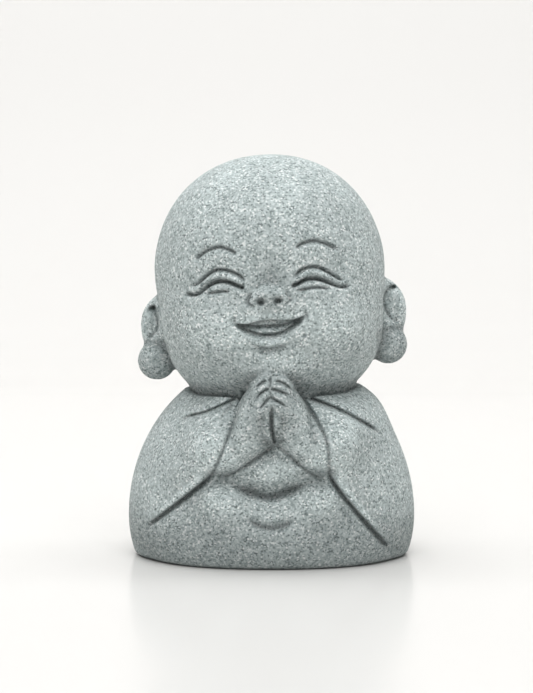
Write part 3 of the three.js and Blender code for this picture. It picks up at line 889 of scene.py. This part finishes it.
# %% The crease under the jaw
# The robe's edge is pushed in under the jaw, and most beside the hands.
NECK_DEPTH = 1.2
NECK_DEPTH_AT_HANDS = 1.2
NECK_PUSH = np.array((0.6, 0.6, 0.8))  # how much of the push goes inwards, inwards and down
NECK_REACH_HEAD = 1.3
NECK_REACH_BODY = 1.0
BESIDE_HANDS_X = (9.0, 18.0)
BESIDE_HANDS_FRONT = (0.0, 12.0)
places = places_of(skin)
where = near_neck(places)
under = places[where]
off_head, off_body = np.maximum(head_gap(under), 0.0), body_gap(under)
weight = np.exp(-((off_head / NECK_REACH_HEAD) ** 2) - (off_body / NECK_REACH_BODY) ** 2)
beside_hands = 1.0 - smooth_rise(np.abs(under[:, 0]), *BESIDE_HANDS_X)
beside_hands *= smooth_rise(-under[:, 1], *BESIDE_HANDS_FRONT)
depths = weight * (NECK_DEPTH + NECK_DEPTH_AT_HANDS * beside_hands)
reach = np.hypot(under[:, 0], under[:, 1])
outwards = np.stack([under[:, 0] / reach, under[:, 1] / reach, np.ones(len(under))], axis=1)
places[where] -= depths[:, None] * NECK_PUSH * outwards
set_places(skin, places)
print("the crease under the jaw is up to", round(float(depths.max()), 2), "mm deep")

# %% [markdown]
# The forearms overhang the belly, so a line is pressed in under each. The hands meet along a deep slit, and
# three pairs of grooves part the fingers.

# %% Forearms, hands and fingers
FOREARM_EDGES = [
    [(-14.4, 22.4), (-11.4, 22.6), (-8.6, 23.8), (-5.6, 25.8), (-2.6, 27.9), (0.9, 30.4)],
    [(0.9, 30.4), (3.8, 28.2), (6.2, 26.0), (8.6, 23.9), (11.0, 22.5), (14.0, 22.2)],
]
PALM_SLIT = [(0.1, 41.2), (0.0, 39.0), (-0.1, 37.2), (0.0, 34.9), (0.3, 33.0), (0.6, 31.6), (0.9, 30.3)]
FINGER_SEAM = [(-0.3, 47.4), (-0.4, 45.4), (-0.4, 44.0), (-0.2, 42.8), (0.1, 41.2)]
FINGER_GROOVES = [
    [(-0.3, 42.6), (-1.6, 41.1), (-2.4, 40.1), (-3.4, 39.1)],
    [(-0.3, 42.7), (0.4, 41.9), (1.5, 41.3), (2.7, 40.6), (3.9, 39.4)],
    [(-0.4, 44.5), (-1.8, 43.8), (-2.8, 43.0), (-3.5, 42.0), (-4.1, 41.0)],
    [(-0.3, 44.4), (0.9, 44.0), (2.2, 43.6), (3.4, 43.1), (4.4, 42.3)],
    [(-1.2, 46.3), (-2.4, 45.6), (-3.3, 44.9), (-4.0, 43.9)],
    [(0.8, 46.2), (2.2, 45.8), (3.4, 45.1), (4.4, 44.2), (5.2, 43.6)],
]
places = places_of(skin)
where = in_box(places, *BELLY_AND_ARMS_BOX)
x, y, z = places[where].T
depths = np.zeros(len(x))
for edge, fade in zip(FOREARM_EDGES, ((0.35, 0.01), (0.01, 0.35))):
    soft = stroke(edge, x, z, width=2.0, depth=0.9, fade=fade)
    depths = np.maximum(depths, soft + stroke(edge, x, z, width=0.5, depth=0.7, fade=fade))
press(skin, where, depths, straight_back=True)

places = places_of(skin)
where = in_box(places, *HANDS_BOX)
x, y, z = places[where].T
depths = stroke(PALM_SLIT, x, z, width=1.8, depth=0.7, fade=(0.3, 0.1))
depths += stroke(PALM_SLIT, x, z, width=0.45, depth=2.4, fade=(0.4, 0.15))
grooves = [stroke(groove, x, z, width=0.34, depth=1.0, fade=(0.1, 0.4)) for groove in FINGER_GROOVES]
seam = stroke(FINGER_SEAM, x, z, width=0.25, depth=0.45, fade=(0.1, 0.1))
depths += np.maximum.reduce([*grooves, seam])
press(skin, where, depths, straight_back=True)

# %% [markdown]
# The bowl of each ear is sunk straight into its shell inside a closed outline. It's deepest at the top, under
# the rolled rim, and low ridges run down its floor.

# %% The bowls of the ears
EAR_BOWLS = [
    (
        [(-29.2, -5.6), (-30.5, -6.2), (-31.4, -7.7), (-31.9, -10.2), (-31.9, -12.7), (-31.2, -14.4),
         (-30.0, -14.2), (-28.6, -12.9), (-27.9, -11.4), (-27.8, -9.2), (-28.2, -7.3), (-28.6, -6.0)],
        (-29.3, -6.6),
        [(-30.6, -9.2, 0.8, 0.7, 1.8), (-29.2, -11.6, 0.9, 0.6, 1.3), (-30.6, -12.9, 0.6, 0.6, 0.7)],
    ),
    (
        [(31.3, -4.2), (29.7, -4.5), (28.5, -5.8), (27.6, -8.0), (27.8, -10.1), (28.4, -11.5), (29.2, -12.9),
         (31.0, -14.2), (32.0, -13.5), (32.5, -11.3), (32.8, -8.8), (32.7, -6.6), (32.2, -4.9)],
        (31.0, -5.1),
        [(30.6, -7.2, 0.7, 0.7, 0.9), (29.9, -9.6, 0.8, 0.9, 1.3), (30.4, -12.4, 0.8, 1.0, 1.3)],
    ),
]
EAR_BOWL_DEPTH = 0.9  # at its outer edge
EAR_BOWL_SLOPE = 0.4  # how much deeper it gets for each millimetre towards the head
EAR_OUTER_EDGE = 32.0
EAR_PIT_DEPTH = 2.2
EAR_PIT_HALF = (0.9, 0.65)
EAR_BOWL_EDGE = (-0.2, 0.8)
EAR_BACK_Y = 8.0
FACING_FORWARDS = 0.1  # the normal's y is under this
EAR_CREASES = [  # between the ear's front edge and the head
    [(-28.0, -3.2), (-27.4, -4.8), (-27.2, -6.7), (-27.2, -8.6), (-27.6, -11.0)],
    [(27.9, -4.0), (27.6, -5.6), (27.6, -7.2)],
]
places = places_of(skin)
where = near_ears(places) & (places[:, 1] < EAR_BACK_Y) & (normals_of(skin)[:, 1] < FACING_FORWARDS)
local = figure_to_head(places[where])
across, up = local[:, 0] - FACE_MIDDLE, local[:, 2]
depths = np.zeros(len(across))
for outline, (pit_x, pit_z), ridges in EAR_BOWLS:
    gap, side, _ = nearest(smooth_line([*outline, outline[0]]), across, up)
    bowl = EAR_BOWL_DEPTH + EAR_BOWL_SLOPE * (EAR_OUTER_EDGE - np.abs(across)) - swelling(ridges, across, up)
    bowl += EAR_PIT_DEPTH * hill(across - pit_x, up - pit_z, *EAR_PIT_HALF)
    depths += smooth_rise(gap * side, *EAR_BOWL_EDGE) * bowl
for crease in EAR_CREASES:
    depths += stroke(crease, across, up, width=0.3, depth=0.8, fade=(0.2, 0.5))
press(skin, where, depths, straight_back=True)
print("the ears' bowls are up to", round(float(depths.max()), 2), "mm deep")

# %% [markdown]
# ## The finished piece
# The skin is scaled from the figure's millimetres to metres, shaded smooth, and takes the place of the CAD
# solid. The solid stays in the physics model.

# %% Make the piece
FIGURE_NAME = "cast_figure"
MOST_TRIANGLES = 190000


def triangles_in(mesh):
    mesh.calc_loop_triangles()
    return len(mesh.loop_triangles)


places = places_of(skin) * MM
places[:, 2] = np.maximum(places[:, 2], 0.0)
set_places(skin, places)
print("the carved skin has", triangles_in(skin), "triangles")
skin = modified(skin, "DECIMATE", ratio=MOST_TRIANGLES / triangles_in(skin))
skin.name = FIGURE_NAME
skin.shade_smooth()
figure = put_in_scene(FIGURE_NAME, skin)
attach(figure, "root")
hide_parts(CAD_NODE)
print("the figure has", triangles_in(skin), "triangles")

# %% [markdown]
# ## The stone
# The figure is cast sandstone: medium quartz sand, about 0.4 mm, in a grey binder, straight from the mould
# and not polished. Each grain shows as a speck a little lighter or darker than the next.
#
# The stone's tone also changes slowly over the figure, and the attribute "wash" holds how dark each point is,
# as painted shade and painted light. Two things go into it. Hollows get painted shade and rims a painted
# highlight, worked out from how far a point lies under its neighbours. The amounts for the foot, the
# undersides, the hands, the lobes, the cheeks and the chin are set instead, so that each part is as bright as
# in the
# photograph: painted shade on the foot, the undersides, the hands and the lobes, painted light on the cheeks
# and chin. The photograph can't tell whether those differences are in the stone or only in its light.

# %% Colours and a helper for nodes
def linear(hex_colour):
    """An sRGB hex colour as a linear one with full alpha."""
    parts = [int(hex_colour[place:place + 2], 16) / 255.0 for place in (1, 3, 5)]
    return (*[part / 12.92 if part <= 0.04045 else ((part + 0.055) / 1.055) ** 2.4 for part in parts], 1.0)


def add(tree, kind, links=(), **settings):
    """Adds a node. Links are (input, output) pairs, inputs= sets values of inputs, the rest are properties."""
    node = tree.nodes.new(kind)
    for name, value in settings.items():
        if name == "inputs":
            for key, amount in value.items():
                node.inputs[key].default_value = amount
        else:
            setattr(node, name, value)
    for key, output in links:
        tree.links.new(node.inputs[key], output)
    return node


# %% How dark the stone is at each point: its painted shade and painted light
# The painted shade on the hands, the lobes, the foot and the undersides and the painted light on the
# cheeks and the chin are tuned to the photograph's brightness.
PAINTED_SHADING_BASE = 0.2
PAINTED_SHADE_HOLLOW = 0.26  # a place this far under its neighbours, in millimetres, gets all of the painted shade
PAINTED_HIGHLIGHT_RIM = 0.2
PAINTED_SHADING_IN_EARS = 0.7  # the share of the hollows' painted shade and the rims' painted highlight that thin shells keep
NEAR_PASSES = 12
LAST_PASSES = 2
BROAD_GRAIN = 1.0
BROAD_PASSES = 30
BROAD_SOFTENING = 4
BROAD_PLAIN = -0.25  # how far a plain part of the head lies over its wide surroundings, in millimetres
BROAD_REACH = 0.8
BROAD_LIMITS = (-0.5, 0.7)
PAINTED_BROAD_SHADING = 0.3
PAINTED_SHADE_HANDS = 0.36
HANDS_OFF_CHIN = (0.3, 1.8)
HANDS_SIDE = (5.0, 9.0)
HANDS_FRONT = (22.0, 26.0)
HANDS_FROM_Z = (28.0, 33.0)
PAINTED_SHADE_LOBES = 0.34
LOBES_BELOW = -14.5
PAINTED_SHADE_FOOT = 0.4
PAINTED_SHADE_FOOT_FROM_Z = (6.0, 16.0)
PAINTED_SHADE_UNDERSIDE = 0.35
UNDERSIDE_FACING = (0.2, 0.85)
PAINTED_LIGHT_CHEEKS_AND_CHIN = [(-13.0, -11.0, 0.16, 8.0, 6.0), (13.0, -11.0, 0.12, 8.0, 6.0), (0.0, -19.0, 0.2, 8.0, 4.0)]


def averaged(values, pairs, passes):
    """Mixes each point's values with the mean of its neighbours', a number of times. Pairs are the edges."""
    count = len(values)
    first, second = pairs.T
    neighbours = np.bincount(pairs.ravel(), minlength=count)[:, None]
    for _ in range(passes):
        sums = [
            np.bincount(first, column[second], count) + np.bincount(second, column[first], count)
            for column in values.T
        ]
        values = (values + np.stack(sums, axis=1) / neighbours) / 2.0
    return values


def edges_of(mesh):
    pairs = np.empty(len(mesh.edges) * 2, np.int32)
    mesh.edges.foreach_get("vertices", pairs)
    return pairs.reshape(-1, 2)


def how_sunk(mesh, passes):
    """How far each point lies under its surroundings, in millimetres. More passes take in wider ones."""
    places = places_of(mesh) / MM
    return ((averaged(places, edges_of(mesh), passes) - places) * normals_of(mesh)).sum(axis=1)


# How far each point lies under its wide surroundings, measured on an even coarse copy, for the broad painted
# shade and light.
even = modified(skin, "REMESH", mode="VOXEL", voxel_size=BROAD_GRAIN * MM)
even_sunk = how_sunk(even, BROAD_PASSES)
finder = KDTree(len(even.vertices))
for index, point in enumerate(even.vertices):
    finder.insert(point.co, index)
finder.balance()
broad = even_sunk[[finder.find(point.co)[1] for point in skin.vertices]]
bpy.data.meshes.remove(even)

places, normals, pairs = places_of(skin) / MM, normals_of(skin), edges_of(skin)
broad = averaged(broad[:, None], pairs, BROAD_SOFTENING)[:, 0]
sunk = how_sunk(skin, NEAR_PASSES)
# Painted shade in the hollows and a painted highlight on the rims.
painted_shading = PAINTED_SHADING_BASE + np.clip(sunk / PAINTED_SHADE_HOLLOW, 0.0, 1.0) - PAINTED_HIGHLIGHT_RIM * np.clip(-sunk / PAINTED_HIGHLIGHT_RIM, 0.0, 1.0)
# Painted shade in wide hollows and painted light on wide rises such as the cheeks.
painted_shading += PAINTED_BROAD_SHADING * np.clip((broad - BROAD_PLAIN) / BROAD_REACH, *BROAD_LIMITS)
in_ears = near_ears(places)
# Thin shells keep only part of that painted shade and highlight.
painted_shading[in_ears] = PAINTED_SHADING_BASE + PAINTED_SHADING_IN_EARS * (painted_shading[in_ears] - PAINTED_SHADING_BASE)
local = figure_to_head(places)
# Painted shade on the lobes.
painted_shading += PAINTED_SHADE_LOBES * in_ears * (local[:, 2] < LOBES_BELOW)
# Painted light on the cheeks and the chin.
painted_shading -= on_head(places) * swelling(PAINTED_LIGHT_CHEEKS_AND_CHIN, local[:, 0] - FACE_MIDDLE, local[:, 2])
# Painted shade on the hands.
off_the_chin = smooth_rise(head_gap(places), *HANDS_OFF_CHIN)
off_the_robe = 1.0 - smooth_rise(np.abs(places[:, 0]), *HANDS_SIDE)
off_the_robe *= smooth_rise(-places[:, 1], *HANDS_FRONT)
painted_shading += PAINTED_SHADE_HANDS * off_the_chin * off_the_robe * smooth_rise(places[:, 2], *HANDS_FROM_Z)
# Painted shade towards the foot.
painted_shading += PAINTED_SHADE_FOOT * (1.0 - smooth_rise(places[:, 2], *PAINTED_SHADE_FOOT_FROM_Z))
# Painted shade on the faces that look downwards.
painted_shading += PAINTED_SHADE_UNDERSIDE * smooth_rise(-normals[:, 2], *UNDERSIDE_FACING)
painted_shading = averaged(np.clip(painted_shading, 0.0, 1.0)[:, None], pairs, LAST_PASSES)[:, 0]
# The attribute holds the painted shade and painted light.
skin.attributes.new("painted_shading", "FLOAT", "POINT").data.foreach_set("value", painted_shading)
print("the deepest place lies", round(float(sunk.max()), 2), "mm under its neighbours")

# %% The cast sandstone
GRAIN_MM = 0.4
CLOUD_MM = 9.0
stone = bpy.data.materials.new("cast_sandstone")
stone.use_nodes = True
tree = stone.node_tree
tree.nodes.clear()
where_on = add(tree, "ShaderNodeTexCoord")
grains = add(tree, "ShaderNodeTexVoronoi", [("Vector", where_on.outputs["Object"])],
             inputs={"Scale": 1.0 / (GRAIN_MM * MM)})
tone = add(tree, "ShaderNodeSeparateColor", [("Color", grains.outputs["Color"])])
ramp = add(tree, "ShaderNodeValToRGB", [("Fac", tone.outputs["Red"])])
steps = ramp.color_ramp
steps.elements[0].position, steps.elements[0].color = 0.0, linear("#717c7c")
steps.elements[1].position, steps.elements[1].color = 1.0, linear("#f2f6f5")
for position, colour in ((0.15, "#9da9a9"), (0.5, "#b9c4c4"), (0.85, "#ced8d8")):
    steps.elements.new(position).color = linear(colour)
# The attribute's painted shade and painted light darken and lighten the grain's colour, and slow clouds vary it
# at random.
painted_shading_here = add(tree, "ShaderNodeAttribute", attribute_name="painted_shading")
clouds = add(tree, "ShaderNodeTexNoise", [("Vector", where_on.outputs["Object"])],
             inputs={"Scale": 1.0 / (CLOUD_MM * MM), "Detail": 3.0})
shade = add(tree, "ShaderNodeMapRange", [("Value", painted_shading_here.outputs["Fac"])],
            inputs={"To Min": 1.16, "To Max": 0.34})
drift = add(tree, "ShaderNodeMapRange", [("Value", clouds.outputs["Fac"])],
            inputs={"From Min": 0.3, "From Max": 0.7, "To Min": 0.93, "To Max": 1.07})
both = add(tree, "ShaderNodeMath", [(0, shade.outputs["Result"]), (1, drift.outputs["Result"])],
           operation="MULTIPLY")
toned = add(tree, "ShaderNodeVectorMath", [(0, ramp.outputs["Color"]), ("Scale", both.outputs["Value"])],
            operation="SCALE")
bump = add(tree, "ShaderNodeBump", [("Height", grains.outputs["Distance"])],
           inputs={"Strength": 0.3, "Distance": 0.04 * MM})
finish = add(tree, "ShaderNodeBsdfPrincipled",
             [("Base Color", toned.outputs["Vector"]), ("Normal", bump.outputs["Normal"])],
             inputs={"Roughness": 0.88, "IOR": 1.5})
add(tree, "ShaderNodeOutputMaterial", [("Surface", finish.outputs["BSDF"])])
skin.materials.append(stone)

# %% [markdown]
# ## The studio
# The figure stands on a pale, slightly glossy board that runs up into a pale wall with no corner. Two large
# soft lights hang above and in front, a low one lifts the face, and one lights the wall.

# %% Board and wall
BOARD_HALF_WIDTH = 6.0
BOARD_FRONT = -6.0
WALL_AT = 0.9
WALL_TOP = 1.6
SWEEP_RADIUS = 0.5
SWEEP_STEPS = 24
sweep = bmesh.new()
corner_line = [(BOARD_FRONT, 0.0), (WALL_AT, 0.0), (WALL_AT, WALL_TOP)]
rail = [sweep.verts.new((-BOARD_HALF_WIDTH, y, z)) for y, z in corner_line]
for pair in zip(rail, rail[1:]):
    sweep.edges.new(pair)
bmesh.ops.bevel(sweep, geom=[rail[1]], offset=SWEEP_RADIUS, segments=SWEEP_STEPS, profile=0.5,
                affect="VERTICES", material=-1)
pulled = bmesh.ops.extrude_edge_only(sweep, edges=sweep.edges[:])
moved = [item for item in pulled["geom"] if isinstance(item, bmesh.types.BMVert)]
bmesh.ops.translate(sweep, verts=moved, vec=(2.0 * BOARD_HALF_WIDTH, 0.0, 0.0))
bmesh.ops.recalc_face_normals(sweep, faces=sweep.faces)
sweep_mesh = bpy.data.meshes.new("studio_sweep")
sweep.to_mesh(sweep_mesh)
sweep.free()
sweep_mesh.shade_smooth()
studio_sweep = put_in_scene("studio_sweep", sweep_mesh)
studio_sweep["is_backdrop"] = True

board = bpy.data.materials.new("satin_acrylic")
board.use_nodes = True
board_finish = board.node_tree.nodes["Principled BSDF"]
board_finish.inputs["Base Color"].default_value = linear("#ecebe9")
board_finish.inputs["Roughness"].default_value = 0.2
board_finish.inputs["Specular IOR Level"].default_value = 0.15
sweep_mesh.materials.append(board)
print("the sweep has", len(sweep_mesh.polygons), "faces")

# %% Lights
def soft_light(name, at, aim, size, power, colour="#ffffff"):
    data = bpy.data.lights.new(name, "AREA")
    data.shape = "RECTANGLE"
    data.size, data.size_y = size
    data.energy = power
    data.color = linear(colour)[:3]
    lamp = put_in_scene(name, data)
    lamp.location = at
    lamp.rotation_euler = (Vector(aim) - Vector(at)).to_track_quat("-Z", "Y").to_euler()


AIM = (0.0, 0.0, 0.05)
soft_light("overhead_softbox", (-0.05, -0.15, 1.1), AIM, (1.4, 1.2), 8.2)
soft_light("high_front_softbox", (0.0, -0.8, 1.0), AIM, (1.0, 0.6), 4.0)
soft_light("front_fill", (0.0, -1.5, 0.35), AIM, (1.2, 0.5), 1.3)
soft_light("wall_light", (0.0, 0.2, 1.2), (0.0, 0.8, 0.0), (2.4, 0.4), 8.4)

room = bpy.data.worlds.new("bright_room")
room.use_nodes = True
room.node_tree.nodes["Background"].inputs["Color"].default_value = linear("#fbfaf7")
room.node_tree.nodes["Background"].inputs["Strength"].default_value = 0.2
bpy.context.scene.world = room
bpy.context.scene.view_settings.view_transform = "Standard"

# %% [markdown]
# ## Sizes
# The dressed figure's box is printed, in the figure's millimetres.

# %% Print the figure's sizes
low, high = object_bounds()
print("sizes in mm", [round((b - a) / MM, 2) for a, b in zip(low, high)])
